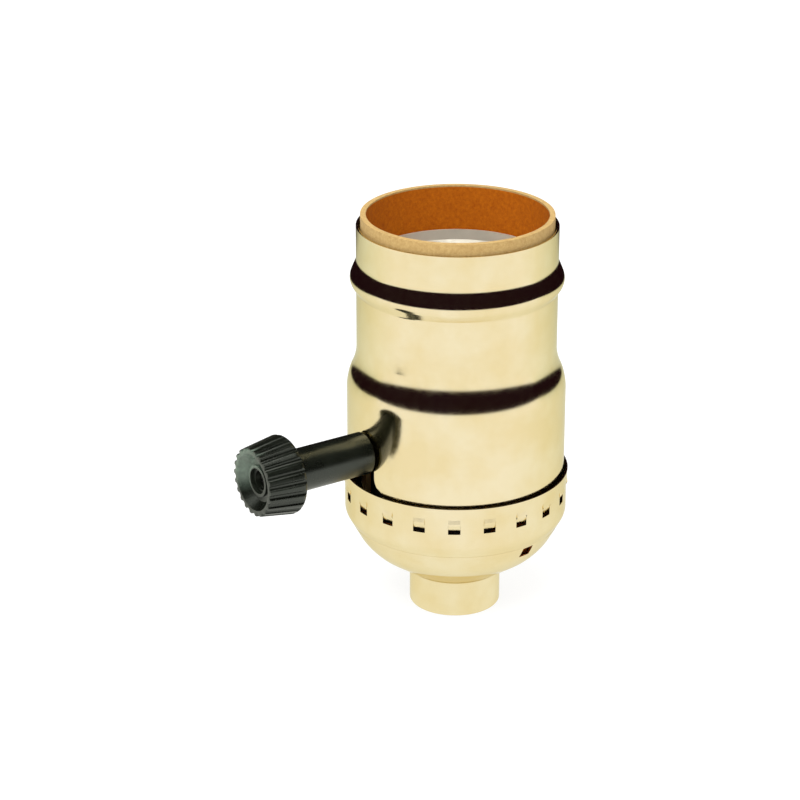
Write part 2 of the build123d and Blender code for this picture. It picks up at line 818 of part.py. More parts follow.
# Knob: a barrel and a tapered head with flutes, a dished face and a boss
barrel_bore_r = shaft_r + knob_bore_gap
recess_r = head_face_r - face_rim
with BuildPart() as knob:
    with BuildSketch(shaft_plane):
        with BuildLine():
            Polyline(
                (barrel_from, barrel_bore_r),
                (barrel_from, barrel_r - barrel_edge),
                (barrel_from + barrel_edge, barrel_r),
                (head_from, barrel_r),
                (head_from, head_back_r - head_edge),
                (head_from + head_edge, head_back_r),
                (head_face, head_face_r),
                (head_face, recess_r),
                (head_face - face_depth, recess_r - face_rim),
                (head_face - face_depth, knob_boss_r + knob_bore_gap),
                (head_face - knob_boss_drop, knob_boss_r),
                (head_face - knob_boss_drop, barrel_bore_r),
                close=True,
            )
        make_face()
    revolve(axis=shaft_axis)
    flute_tilt = Vector(head_length, head_back_r - head_face_r, 0).get_angle(Vector(1, 0, 0))
    flute_middle_r = (head_back_r + head_face_r) / 2 + flute_r - flute_depth
    with Locations(across(0)):
        with PolarLocations(flute_middle_r, flute_count):
            with Locations((0, 0, head_from + head_length / 2)):
                Cylinder(
                    flute_r, 2 * head_length, rotation=(0, -flute_tilt, 0), mode=Mode.SUBTRACT
                )
knob.part.label = "knob"
export_step(knob.part, "parts/knob.step")
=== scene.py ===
"""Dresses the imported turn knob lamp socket: brass, fibre sleeve and knob, their finishes and a stage."""

from math import cos, pi, radians, sin, tan

import bmesh
import bpy
from bpy.props import FloatProperty, FloatVectorProperty, IntProperty, PointerProperty
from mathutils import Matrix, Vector


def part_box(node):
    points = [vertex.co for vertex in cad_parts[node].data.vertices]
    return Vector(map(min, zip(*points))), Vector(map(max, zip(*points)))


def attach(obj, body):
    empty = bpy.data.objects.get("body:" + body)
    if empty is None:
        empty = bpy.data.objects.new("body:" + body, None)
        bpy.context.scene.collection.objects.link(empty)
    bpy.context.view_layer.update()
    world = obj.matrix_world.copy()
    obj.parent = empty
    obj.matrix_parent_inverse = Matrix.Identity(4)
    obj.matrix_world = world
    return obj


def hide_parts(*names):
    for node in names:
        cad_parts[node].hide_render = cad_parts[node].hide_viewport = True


bl_info = {
    "name": "Turn Knob Lamp Socket",
    "version": (1, 0, 0),
    "blender": (4, 5, 0),
    "location": "3D View > Sidebar > Socket",
    "description": "Models and finishes a brass lamp socket over its packed frame",
    "category": "Object",
}

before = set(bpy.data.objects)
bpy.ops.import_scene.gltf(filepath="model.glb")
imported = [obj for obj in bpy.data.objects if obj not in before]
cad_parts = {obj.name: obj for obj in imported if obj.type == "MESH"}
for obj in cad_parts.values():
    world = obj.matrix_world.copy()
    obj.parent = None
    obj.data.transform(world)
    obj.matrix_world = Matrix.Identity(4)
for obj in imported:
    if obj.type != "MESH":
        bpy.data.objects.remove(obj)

MM = 0.001
FULL_TURN = 2 * pi
NEAR = 0.001 * MM
CUT_PAST = 1 * MM
STEPS_PER_FLUTE = 8
SOCKET_AXIS = Vector((0, 0, 1))
SHAFT_AXIS = Vector((-1, 0, 0))
BACKWARDS = Vector((0.564, 0.826, 0))
DARK = (0.010, 0.002, 0.005)

# Features per metre of the noises in the finishes
METAL_CLOUDS = 140
GLOSS_CLOUDS = 900
METAL_GRAIN = 2200
FIBRE_MOTTLE = 1700
FIBRE_STRANDS = 3500
PLASTIC_CLOUDS = 260
PLASTIC_SKIN = 5200
# Mottle in the painted sheen that stands in for a reflection on the knob's face
SHEEN_SPOTS = 1500

# Stretch of a metal's grain along the socket, and its tone at a flat angle
DRAWN = (1, 1, 0.04)
TURNED = (1, 1, 8)
ROLLED = (1, 1, 6)
EVEN = (1, 1, 1)
GRAIN_DEPTH = 0.002 * MM
WARM_EDGE = (0.86, 0.83, 0.72)
PLAIN_EDGE = (1, 1, 1)

# Glow and shade of the floor as the camera sees it, and its tone for soft light
FLOOR_GLOW = 0.82
FLOOR_SHADE = (0.25, 0.25, 0.25, 1)
FLOOR_PLAIN = (0.8, 0.8, 0.8, 1)

# Soft light all round, and the horizon in reflections, which leans back a little
AMBIENT = 0.55
HORIZON = (-0.04, 0.01)
HORIZON_LEAN = 0.06

# Light that the floor sends into the brass, from in front of the socket to behind it
FLOOR_REACH = (-0.1, 0.3)
FLOOR_TONES = (
    (0.10, (1.0, 1.0, 1.0)),
    (0.30, (0.92, 0.92, 0.82)),
    (0.52, (0.80, 0.83, 0.72)),
    (0.66, (0.66, 0.68, 0.56)),
    (0.75, DARK),
)

# Places and radii that the frame gives
shell_low, shell_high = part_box("outer_shell")
cap_low, cap_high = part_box("cap")
sleeve_low, sleeve_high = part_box("insulating_sleeve")
knob_low, knob_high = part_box("knob")
bushing_low, bushing_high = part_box("cap_bushing")
body_radius = shell_high.x
cap_rim_radius = cap_high.x
sleeve_radius = sleeve_high.x
shaft_height = (knob_low.z + knob_high.z) / 2


def length(name, description, default):
    """A length that a user can change, in metres."""
    return FloatProperty(
        name=name, description=description, default=default, unit="LENGTH", precision=5
    )


def colour(name, description, default):
    """A colour that a user can change, in linear light."""
    return FloatVectorProperty(
        name=name, description=description, default=default, subtype="COLOR", size=3, min=0, max=1
    )


class ShellSizes(bpy.types.PropertyGroup):
    """Sizes of the drawn brass shell, on its outside."""

    sheet: length("Sheet", "Thickness of the drawn brass", 0.4 * MM)
    foot_step: length("Foot step", "How far the foot stands inside the body", 0.15 * MM)
    foot_top: length("Foot top", "Height where the foot ends", 23.6 * MM)
    foot_rise: length("Foot rise", "Height of the slope over the foot", 2.0 * MM)
    neck: length("Neck", "Outer radius of the neck", sleeve_radius + 0.7 * MM)
    shoulder: length("Shoulder", "Height where the shoulder starts", 40.7 * MM)
    shoulder_rise: length("Shoulder rise", "Height of the shoulder's slope", 3.55 * MM)
    shoulder_bend: length("Shoulder bend", "Radius of the shoulder's bends", 7.8 * MM)
    bead: length("Bead", "Height where the bead stands out fully", 57.25 * MM)
    bead_out: length("Bead depth", "How far the bead stands out", 1.02 * MM)
    bead_crown: length("Bead crown", "Height of the bead's flat crown", 0.95 * MM)
    bead_under: length("Bead underside", "Height of the slope under the bead", 1.6 * MM)
    bead_over: length("Bead top side", "Height of the slope over the bead", 2.45 * MM)
    neck_bend: length("Neck bend", "Radius of the bend into the bead's underside", 0.6 * MM)
    under_bend: length("Lower bead bend", "Radius of the bead's lower bend", 1.8 * MM)
    over_bend: length("Upper bead bend", "Radius of the bends over the bead", 2.2 * MM)
    slot: length("Slot", "Half the width of the shaft's slot", 2.3 * MM)
    slot_mouth: length("Slot mouth", "Half the width of the slot's mouth", 4.7 * MM)
    slot_mouth_top: length("Slot mouth top", "Height where the mouth ends", 24.2 * MM)
    slot_rise: length("Slot rise", "Height of the slope from the mouth to the slot", 2.0 * MM)
    slot_bend: length("Slot bend", "Radius of the bends into the mouth", 2.0 * MM)
    edge: length("Edge", "Rounding of the sheared edges", 0.07 * MM)


class CapSizes(bpy.types.PropertyGroup):
    """Sizes of the drawn brass cap, on its outside."""

    sheet: length("Sheet", "Thickness of the drawn brass", 0.3 * MM)
    rim_flare: length("Rim flare", "How far the rim flares out of the band", 0.2 * MM)
    flare_from: length("Flare", "Height where the rim starts to flare", 21.4 * MM)
    flare_bend: length("Flare bend", "Radius of the bend under the rim", 4.0 * MM)
    band: length("Band", "Height where the straight band starts", 17.2 * MM)
    band_bend: length("Band bend", "Radius of the bend under the band", 2.0 * MM)
    bowl_step: length("Bowl step", "How far the bowl's corner lies inside the band", 3.28 * MM)
    bowl: length("Bowl", "Height of the bowl's corner", 11.2 * MM)
    bowl_bend: length("Bowl bend", "Radius of the bowl's bend", 9.2 * MM)
    hub: length("Hub", "Outer radius of the hub", 7.6 * MM)
    hub_top: length("Hub top", "Height where the hub meets the bowl", 6.15 * MM)
    hub_bend: length("Hub bend", "Radius of the bend over the hub", 0.8 * MM)
    hub_edge: length("Hub edge", "Rounding of the hub's end", 0.5 * MM)
    hub_lip: length("Hub lip", "Width of the lip turned in at the hub's end", 1.6 * MM)
    crease: length("Crease", "Height of the crease on the bowl", 15.5 * MM)
    crease_half: length("Crease width", "Half the width of the crease", 0.3 * MM)
    crease_depth: length("Crease depth", "Depth of the crease", 0.12 * MM)
    lance_top: length("Lance top", "Height of the lances' upper edge", 21.65 * MM)
    lance_wide: length("Lance width", "Width of a lance", 2.0 * MM)
    lance_high: length("Lance height", "Height of a lance's window", 1.5 * MM)
    lance_long: length("Lance length", "Length of a lance's flap", 0.9 * MM)
    lance_gap: length("Lance gap", "Gap at each side of a flap", 0.02 * MM)
    lance_bend: FloatProperty(
        name="Lance bend", description="Angle of a flap to the band", default=radians(22),
        subtype="ANGLE",
    )
    lances: IntProperty(name="Lances", description="Number of lances", default=20, min=3)
    hole_angle: FloatProperty(
        name="Hole angle", description="Place of the punched hole round the cap",
        default=radians(-82), subtype="ANGLE",
    )
    hole: length("Hole", "Height of the punched hole's middle", 14.4 * MM)
    hole_wide: length("Hole width", "Width of the punched hole", 2.2 * MM)
    hole_high: length("Hole height", "Height of the punched hole", 1.9 * MM)
    edge: length("Edge", "Rounding of the sheared edges", 0.05 * MM)


class SleeveSizes(bpy.types.PropertyGroup):
    """Sizes of the fibre sleeve."""

    wall: length("Wall", "Thickness of the fibre", 0.9 * MM)
    slot: length("Slot", "Half the width of the slot round the shaft", 4.2 * MM)
    edge: length("Edge", "Rounding of the cut edges", 0.18 * MM)
    glaze: length("Glaze", "Depth of the brown glaze inside", 0.072 * MM)
    bare_top: length("Bare top", "Height of the bare band at the top", 0.3 * MM)


class KnobSizes(bpy.types.PropertyGroup):
    """Sizes of the moulded knob, along and about the shaft."""

    bore: length("Bore", "Radius of the hole for the shaft", 1.61 * MM)
    barrel: length("Barrel", "Radius of the barrel", 3.5 * MM)
    barrel_edge: length("Barrel edge", "Bevel at the barrel's end", 0.25 * MM)
    head: length("Head", "Length of the fluted head", 6.54 * MM)
    back: length("Back", "Radius of the head's back", 6.65 * MM)
    face: length("Face", "Radius of the head's face", 5.6 * MM)
    back_edge: length("Back edge", "Rounding of the head's back", 0.9 * MM)
    rim: length("Rim", "Width of the flat rim round the face", 0.95 * MM)
    dish: length("Dish", "Depth of the dish in the face", 1.45 * MM)
    dish_floor: length("Dish floor", "Radius of the dish's floor", 3.5 * MM)
    boss: length("Boss", "Radius of the boss in the dish", 2.6 * MM)
    boss_drop: length("Boss drop", "How far the boss lies below the rim", 0.9 * MM)
    mouth: length("Mouth", "Radius of the bore's wider mouth", 2.1 * MM)
    mouth_deep: length("Mouth depth", "Depth of the bore's wider mouth", 0.7 * MM)
    flute: length("Flute", "Radius of a flute", 0.55 * MM)
    flute_depth: length("Flute depth", "Depth of a flute", 0.42 * MM)
    edge: length("Edge", "Rounding of the moulded edges", 0.12 * MM)
    # Place and spread of the painted sheen on the knob's face, a lighter patch that stands in for the lit
    # floor's reflection
    sheen_side: length("Sheen side", "How far the painted sheen lies to the side of the hole", 4 * MM)
    sheen_over: length("Sheen height", "How far the painted sheen lies over the hole", 3.5 * MM)
    sheen: length("Sheen", "Radius that has the painted sheen fully", 3 * MM)
    sheen_fade: length("Sheen fade", "Radius where the painted sheen ends", 6.5 * MM)
    flutes: IntProperty(name="Flutes", description="Number of flutes", default=22, min=3)


class SocketColours(bpy.types.PropertyGroup):
    """Colours of the finishes, in linear light."""

    brass: colour("Brass", "Bright plated brass", (0.92, 0.80, 0.52))
    brass_deep: colour("Deep brass", "Thinner places in the plating", (0.88, 0.73, 0.41))
    turned_brass: colour("Turned brass", "Bushing and line screw", (0.78, 0.57, 0.24))
    contact_brass: colour("Contact brass", "Strip of the contacts", (0.76, 0.53, 0.21))
    fibre: colour("Fibre", "Brown glazed fibre", (0.31, 0.066, 0.003))
    fibre_light: colour("Light fibre", "Flecks in the glazed fibre", (0.56, 0.158, 0.007))
    fibre_bare: colour("Bare fibre", "Outside and cut edges of the fibre", (0.38, 0.235, 0.085))
    fibre_pale: colour("Pale fibre", "Flecks in the bare fibre", (0.50, 0.345, 0.14))
    phenolic: colour("Phenolic", "Black moulded housing", (0.018, 0.014, 0.012))
    plastic: colour("Plastic", "Black moulded knob", (0.003, 0.004, 0.0025))
    # Tone of the painted reflection of the lit floor on the knob's face
    painted_sheen: colour("Painted sheen", "Painted reflection on the upper side of the knob's face", (0.10, 0.14, 0.105))
    aluminium: colour("Aluminium", "Dull rolled screw shell", (0.66, 0.63, 0.52))
    steel: colour("Steel", "Screws, rivets and shaft", (0.58, 0.57, 0.54))
    spring: colour("Spring steel", "Blued detent spring", (0.16, 0.17, 0.20))


class StageSettings(bpy.types.PropertyGroup):
    """Camera and light."""

    camera: FloatVectorProperty(
        name="Camera", description="Place of the camera", default=(-0.2350, -0.3278, 0.2006),
        subtype="TRANSLATION", unit="LENGTH",
    )
    sight: FloatVectorProperty(
        name="Sight", description="Direction of the camera's sight", default=(0.522, 0.7646, -0.3778),
        subtype="DIRECTION",
    )
    lens: FloatProperty(name="Lens", description="Focal length in millimetres", default=118.8)
    floor: length("Floor", "Side of the square floor", 6.0)
    key: FloatProperty(name="Key lamp", description="Power of the key lamp", default=10, unit="POWER")
    fill: FloatProperty(name="Fill lamp", description="Power of the fill lamp", default=4, unit="POWER")
    back: FloatProperty(name="Back lamp", description="Power of the back lamp", default=1.8, unit="POWER")
    mouth: FloatProperty(
        name="Mouth lamp", description="Power of the lamp over the mouth", default=3.2, unit="POWER"
    )


def clear_selection():
    """Leaves edit mode and deselects every object."""
    if bpy.context.mode != "OBJECT":
        bpy.ops.object.mode_set(mode="OBJECT")
    bpy.ops.object.select_all(action="DESELECT")


def make_active(obj):
    """Selects one object alone."""
    clear_selection()
    obj.select_set(True)
    bpy.context.view_layer.objects.active = obj


def select_points(obj, test):
    """Selects the vertices of the mesh in edit mode whose place passes a test."""
    bpy.ops.mesh.select_mode(type="VERT")
    bpy.ops.mesh.select_all(action="DESELECT")
    mesh = bmesh.from_edit_mesh(obj.data)
    for vertex in mesh.verts:
        vertex.select = test(vertex.co)
    mesh.select_flush(True)
    bmesh.update_edit_mesh(obj.data)


def draw_line(name, corners, closed=False, round_step=radians(6)):
    """Draws a line of corners, each with its bend's radius, and stays in edit mode."""
    clear_selection()
    bpy.ops.mesh.primitive_circle_add(vertices=3, radius=MM)
    obj = bpy.context.object
    obj.name = name
    obj.data.name = name
    bpy.ops.object.mode_set(mode="EDIT")
    bpy.ops.mesh.select_all(action="SELECT")
    bpy.ops.mesh.merge(type="CENTER")
    points = [Vector(corner[:3]) for corner in corners]
    bpy.ops.transform.translate(value=points[0])
    for start, end in zip(points, points[1:]):
        bpy.ops.mesh.extrude_vertices_move(TRANSFORM_OT_translate={"value": end - start})
    if closed:
        ends = (points[0], points[-1])
        select_points(obj, lambda place: min((place - end).length for end in ends) < NEAR)
        bpy.ops.mesh.edge_face_add()
    for i, corner in enumerate(corners):
        if corner[3] > 0:
            before = points[i] - points[i - 1]
            after = points[(i + 1) % len(points)] - points[i]
            turn = before.angle(after)
            select_points(obj, lambda place: (place - points[i]).length < NEAR)
            bpy.ops.mesh.bevel(
                offset_type="ABSOLUTE",
                offset=corner[3] * tan(turn / 2),
                segments=max(2, round(turn / round_step)),
                affect="VERTICES",
            )
    return obj


def lathe(obj, steps, centre=(0, 0, 0), axis=SOCKET_AXIS):
    """Spins the line in edit mode once round an axis, and closes and orients the surface."""
    bpy.ops.mesh.select_all(action="SELECT")
    bpy.ops.mesh.spin(steps=steps, angle=FULL_TURN, center=centre, axis=axis)
    bpy.ops.mesh.select_all(action="SELECT")
    bpy.ops.mesh.remove_doubles(threshold=NEAR / 2)
    bpy.ops.mesh.normals_make_consistent(inside=False)
    bpy.ops.object.mode_set(mode="OBJECT")


def push_out(name, outline, reach):
    """A closed outline with rounded corners, pushed out into a solid."""
    obj = draw_line(name, outline, closed=True)
    bpy.ops.mesh.select_all(action="SELECT")
    bpy.ops.mesh.edge_face_add()
    bpy.ops.mesh.extrude_region_move(TRANSFORM_OT_translate={"value": reach})
    bpy.ops.mesh.select_all(action="SELECT")
    bpy.ops.mesh.normals_make_consistent(inside=False)
    bpy.ops.object.mode_set(mode="OBJECT")
    return obj


def apply_modifier(obj, kind, **settings):
    """Adds a modifier to an object and applies it."""
    make_active(obj)
    modifier = obj.modifiers.new(kind.title(), kind)
    for name, value in settings.items():
        setattr(modifier, name, value)
    bpy.ops.object.modifier_apply(modifier=modifier.name)


def thicken(obj, wall):
    """Gives a surface its thickness, inwards."""
    apply_modifier(obj, "SOLIDIFY", thickness=wall, offset=-1, use_even_offset=True)


def cut(obj, cutter):
    """Cuts one mesh out of another and removes the cutter."""
    apply_modifier(obj, "BOOLEAN", operation="DIFFERENCE", object=cutter, solver="EXACT")
    bpy.data.objects.remove(cutter)


def copy_round(obj, count, centre=(0, 0, 0), axis="Z"):
    """Copies a mesh evenly round an axis and joins the copies to it."""
    make_active(obj)
    copies = [obj]
    for _ in range(count - 1):
        bpy.ops.object.duplicate()
        bpy.ops.transform.rotate(
            value=FULL_TURN / count, orient_axis=axis, center_override=centre
        )
        copies.append(bpy.context.object)
    for copy in copies:
        copy.select_set(True)
    bpy.context.view_layer.objects.active = obj
    bpy.ops.object.join()
    bpy.ops.object.transform_apply(location=True, rotation=True, scale=True)


def join(obj, other):
    """Joins a second mesh to the first."""
    make_active(obj)
    other.select_set(True)
    bpy.ops.object.join()
    return obj


def soften(obj, edge, sharp=radians(40)):
    """Rounds the sharp edges and smooths the rest."""
    if edge > 0:
        apply_modifier(
            obj, "BEVEL", width=edge, segments=2, limit_method="ANGLE", angle_limit=sharp,
            use_clamp_overlap=True,
        )
    make_active(obj)
    bpy.ops.object.shade_smooth_by_angle(angle=sharp)
    apply_modifier(obj, "WEIGHTED_NORMAL", mode="FACE_AREA", weight=50, keep_sharp=True)


def stand_for(obj, node, body, material):
    """Puts a finished piece in place of a CAD node."""
    dress(obj, material)
    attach(obj, body)
    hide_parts(node)


def dress(obj, material):
    """Gives an object one material."""
    if obj.material_slots:
        for place in obj.material_slots:
            place.material = material
    else:
        obj.data.materials.append(material)


def darker(tone, share=0.82):
    """The same tone with less light."""
    return [value * share for value in tone]


def face_towards(obj, direction):
    """Turns an open surface's faces to a side, and leaves edit mode."""
    bpy.ops.mesh.select_all(action="SELECT")
    bpy.ops.mesh.normals_make_consistent(inside=False)
    bpy.ops.object.mode_set(mode="OBJECT")
    if sum(face.area * face.normal.dot(direction) for face in obj.data.polygons) < 0:
        bpy.ops.object.mode_set(mode="EDIT")
        bpy.ops.mesh.select_all(action="SELECT")
        bpy.ops.mesh.flip_normals()
        bpy.ops.object.mode_set(mode="OBJECT")


def box_at(name, centre, size):
    """Adds a box of a given size, with its place in its mesh."""
    clear_selection()
    bpy.ops.mesh.primitive_cube_add(size=1, location=centre)
    obj = bpy.context.object
    obj.name = name
    obj.scale = size
    bpy.ops.object.transform_apply(location=True, rotation=True, scale=True)
    return obj


def start_material(name):
    """A new material's node tree and its principled shader."""
    material = bpy.data.materials.new(name)
    material.use_nodes = True
    return material, material.node_tree, material.node_tree.nodes["Principled BSDF"]


def noise(tree, scale, detail=4.0, stretch=(1, 1, 1), roughness=0.5):
    """A noise over the object's own coordinates, in features per metre."""
    place = tree.nodes.new("ShaderNodeTexCoord")
    mapping = tree.nodes.new("ShaderNodeMapping")
    texture = tree.nodes.new("ShaderNodeTexNoise")
    mapping.inputs["Scale"].default_value = stretch
    texture.inputs["Scale"].default_value = scale
    texture.inputs["Detail"].default_value = detail
    texture.inputs["Roughness"].default_value = roughness
    tree.links.new(place.outputs["Object"], mapping.inputs["Vector"])
    tree.links.new(mapping.outputs["Vector"], texture.inputs["Vector"])
    return texture.outputs["Fac"]


def between(tree, factor, low, high, start=0.35, end=0.65):
    """A colour between two others, by a factor."""
    ramp = tree.nodes.new("ShaderNodeValToRGB")
    ramp.color_ramp.elements[0].position = start
    ramp.color_ramp.elements[1].position = end
    ramp.color_ramp.elements[0].color = (*low, 1)
    ramp.color_ramp.elements[1].color = (*high, 1)
    tree.links.new(factor, ramp.inputs["Fac"])
    return ramp.outputs["Color"]


def fade(tree, factor, tones):
    """A colour that runs through several tones, each at its own place."""
    ramp = tree.nodes.new("ShaderNodeValToRGB")
    elements = ramp.color_ramp.elements
    elements.remove(elements[1])
    for place, tone in tones:
        element = elements.new(place)
        element.color = (*tone, 1)
    elements.remove(elements[0])
    tree.links.new(factor, ramp.inputs["Fac"])
    return ramp.outputs["Color"]


def span(tree, factor, low, high, start=0.3, end=0.7):
    """A number between two others, by a factor."""
    node = tree.nodes.new("ShaderNodeMapRange")
    node.inputs["From Min"].default_value = start
    node.inputs["From Max"].default_value = end
    node.inputs["To Min"].default_value = low
    node.inputs["To Max"].default_value = high
    tree.links.new(factor, node.inputs["Value"])
    return node.outputs["Result"]


def relief(tree, height, depth, strength=1.0):
    """A bump of a given depth, from a height between 0 and 1."""
    node = tree.nodes.new("ShaderNodeBump")
    node.inputs["Strength"].default_value = strength
    node.inputs["Distance"].default_value = depth
    tree.links.new(height, node.inputs["Height"])
    return node.outputs["Normal"]


def metal(name, bright, dull, roughness, grain=EVEN, edge=WARM_EDGE, metallic=1.0):
    """A bare or plated metal: soft clouds in its colour and gloss, and a fine drawn grain."""
    material, tree, shader = start_material(name)
    clouds = noise(tree, METAL_CLOUDS, detail=5)
    tree.links.new(between(tree, clouds, dull, bright), shader.inputs["Base Color"])
    gloss = span(tree, noise(tree, GLOSS_CLOUDS, detail=6), roughness * 0.8, roughness * 1.25)
    tree.links.new(gloss, shader.inputs["Roughness"])
    scratches = noise(tree, METAL_GRAIN, detail=3, stretch=grain)
    tree.links.new(relief(tree, scratches, GRAIN_DEPTH), shader.inputs["Normal"])
    shader.inputs["Metallic"].default_value = metallic
    shader.inputs["Specular Tint"].default_value = (*edge, 1)
    return material


def distance(tree, centre, across):
    """The distance of a point of the object from a centre, along some of the axes."""
    place = tree.nodes.new("ShaderNodeTexCoord")
    offset = tree.nodes.new("ShaderNodeVectorMath")
    flat = tree.nodes.new("ShaderNodeVectorMath")
    size = tree.nodes.new("ShaderNodeVectorMath")
    offset.operation = "SUBTRACT"
    offset.inputs[1].default_value = centre
    flat.operation = "MULTIPLY"
    flat.inputs[1].default_value = across
    size.operation = "LENGTH"
    tree.links.new(place.outputs["Object"], offset.inputs[0])
    tree.links.new(offset.outputs["Vector"], flat.inputs[0])
    tree.links.new(flat.outputs["Vector"], size.inputs[0])
    return size.outputs["Value"]


def blend(tree, factor, low, high):
    """A mix of two linked colours."""
    mix = tree.nodes.new("ShaderNodeMix")
    mix.data_type = "RGBA"
    tree.links.new(factor, mix.inputs["Factor"])
    tree.links.new(low, mix.inputs["A"])
    tree.links.new(high, mix.inputs["B"])
    return mix.outputs["Result"]


def fibre(name, colours, skin, top):
    """Vulcanised fibre: matte and mottled, and bare and pale beyond a radius and over a height."""
    material, tree, shader = start_material(name)
    mottle = noise(tree, FIBRE_MOTTLE, detail=8, roughness=0.75)
    glazed = between(tree, mottle, colours.fibre, colours.fibre_light, start=0.3, end=0.75)
    bare = between(tree, mottle, colours.fibre_bare, colours.fibre_pale, start=0.35, end=0.65)
    outside = span(tree, distance(tree, (0, 0, 0), (1, 1, 0)), 0, 1, skin, skin + 0.05 * MM)
    over = span(tree, distance(tree, (0, 0, 0), (0, 0, 1)), 0, 1, top, top + 0.08 * MM)
    either = tree.nodes.new("ShaderNodeMath")
    either.operation = "MAXIMUM"
    tree.links.new(outside, either.inputs[0])
    tree.links.new(over, either.inputs[1])
    tree.links.new(blend(tree, either.outputs["Value"], glazed, bare), shader.inputs["Base Color"])
    tree.links.new(span(tree, mottle, 0.62, 0.8), shader.inputs["Roughness"])
    strands = noise(tree, FIBRE_STRANDS, detail=4, stretch=(1, 1, 0.5))
    tree.links.new(relief(tree, strands, 0.03 * MM), shader.inputs["Normal"])
    shader.inputs["Specular IOR Level"].default_value = 0.12
    return material


def moulding(name, body, roughness, grain_depth):
    """A moulded plastic with a fine skin and slight flow clouds."""
    material, tree, shader = start_material(name)
    clouds = noise(tree, PLASTIC_CLOUDS, detail=4)
    tree.links.new(between(tree, clouds, body, darker(body, 1.8)), shader.inputs["Base Color"])
    tree.links.new(span(tree, clouds, roughness * 0.85, roughness * 1.2), shader.inputs["Roughness"])
    skin = noise(tree, PLASTIC_SKIN, detail=3)
    tree.links.new(relief(tree, skin, grain_depth), shader.inputs["Normal"])
    return material


def knob_finish(colours, sizes):
    """Glossy black plastic, with a painted sheen on the upper side of its face between the hole and the
    flutes, a lighter patch that stands in for the lit floor's reflection.
    """
    material = moulding("black_plastic_knob", colours.plastic, 0.28, 0.012 * MM)
    tree = material.node_tree
    shader = tree.nodes["Principled BSDF"]
    plain = shader.inputs["Base Color"].links[0].from_socket
    # Painted reflection: a lighter mottled patch on the upper side of the face, where the lit floor would
    # show in the gloss
    sheen_tone = between(
        tree, noise(tree, SHEEN_SPOTS, detail=6), darker(colours.painted_sheen, 0.7), colours.painted_sheen
    )
    side = (knob_low.x, sizes.sheen_side, shaft_height + sizes.sheen_over)
    away = distance(tree, side, (1, 1, 1))
    radius = distance(tree, (0, 0, shaft_height), (0, 1, 1))
    on_sheen = span(tree, away, 1, 0, sizes.sheen, sizes.sheen_fade)
    on_flutes = span(tree, radius, 0, 1, sizes.face - 0.25 * MM, sizes.face - 0.1 * MM)
    in_hole = span(tree, radius, 1, 0, sizes.mouth, sizes.mouth + 0.2 * MM)
    tone = blend(tree, on_sheen, plain, sheen_tone)
    tone = blend(tree, on_flutes, tone, plain)
    tone = blend(tree, in_hole, tone, plain)
    tree.links.new(tone, shader.inputs["Base Color"])
    shader.inputs["Specular IOR Level"].default_value = 0.8
    shader.inputs["Specular Tint"].default_value = (0.94, 1, 0.86, 1)
    return material


class SOCKET_OT_shell(bpy.types.Operator):
    """Models the drawn brass shell with its shoulder, bead and slot"""

    bl_idname = "socket.shell"
    bl_label = "Brass Shell"

    def execute(self, context):
        sizes = context.scene.socket_shell
        colours = context.scene.socket_colours
        foot = body_radius - sizes.foot_step
        bead = sizes.neck + sizes.bead_out
        bead_top = sizes.bead + sizes.bead_crown
        outline = [
            (foot, 0, shell_low.z, 0),
            (foot, 0, sizes.foot_top, sizes.foot_rise),
            (body_radius, 0, sizes.foot_top + sizes.foot_rise, sizes.foot_rise),
            (body_radius, 0, sizes.shoulder, sizes.shoulder_bend),
            (sizes.neck, 0, sizes.shoulder + sizes.shoulder_rise, sizes.shoulder_bend),
            (sizes.neck, 0, sizes.bead - sizes.bead_under, sizes.neck_bend),
            (bead, 0, sizes.bead, sizes.under_bend),
            (bead, 0, bead_top, sizes.over_bend),
            (sizes.neck, 0, bead_top + sizes.bead_over, sizes.over_bend),
            (sizes.neck, 0, shell_high.z, 0),
        ]
        shell = draw_line("brass_shell", outline, round_step=radians(3))
        lathe(shell, steps=192)
        thicken(shell, sizes.sheet)
        cut(shell, self.slot_cutter(sizes))
        soften(shell, sizes.edge)
        brass = metal("bright_brass_shell", colours.brass, colours.brass_deep, 0.13, DRAWN)
        stand_for(shell, "outer_shell", "shell", brass)
        return {"FINISHED"}

    def slot_cutter(self, sizes):
        """The slot's shape, pushed out through the shell's wall."""
        top = shaft_height + sizes.slot
        below = shell_low.z - CUT_PAST
        inside = -sizes.neck / 2
        outline = [
            (inside, -sizes.slot, sizes.slot_mouth_top + sizes.slot_rise, sizes.slot_bend),
            (inside, -sizes.slot_mouth, sizes.slot_mouth_top, sizes.slot_bend),
            (inside, -sizes.slot_mouth, below, 0),
            (inside, sizes.slot_mouth, below, 0),
            (inside, sizes.slot_mouth, sizes.slot_mouth_top, sizes.slot_bend),
            (inside, sizes.slot, sizes.slot_mouth_top + sizes.slot_rise, sizes.slot_bend),
            (inside, sizes.slot, top, sizes.slot),
            (inside, -sizes.slot, top, sizes.slot),
        ]
        return push_out("slot_cutter", outline, (-body_radius, 0, 0))


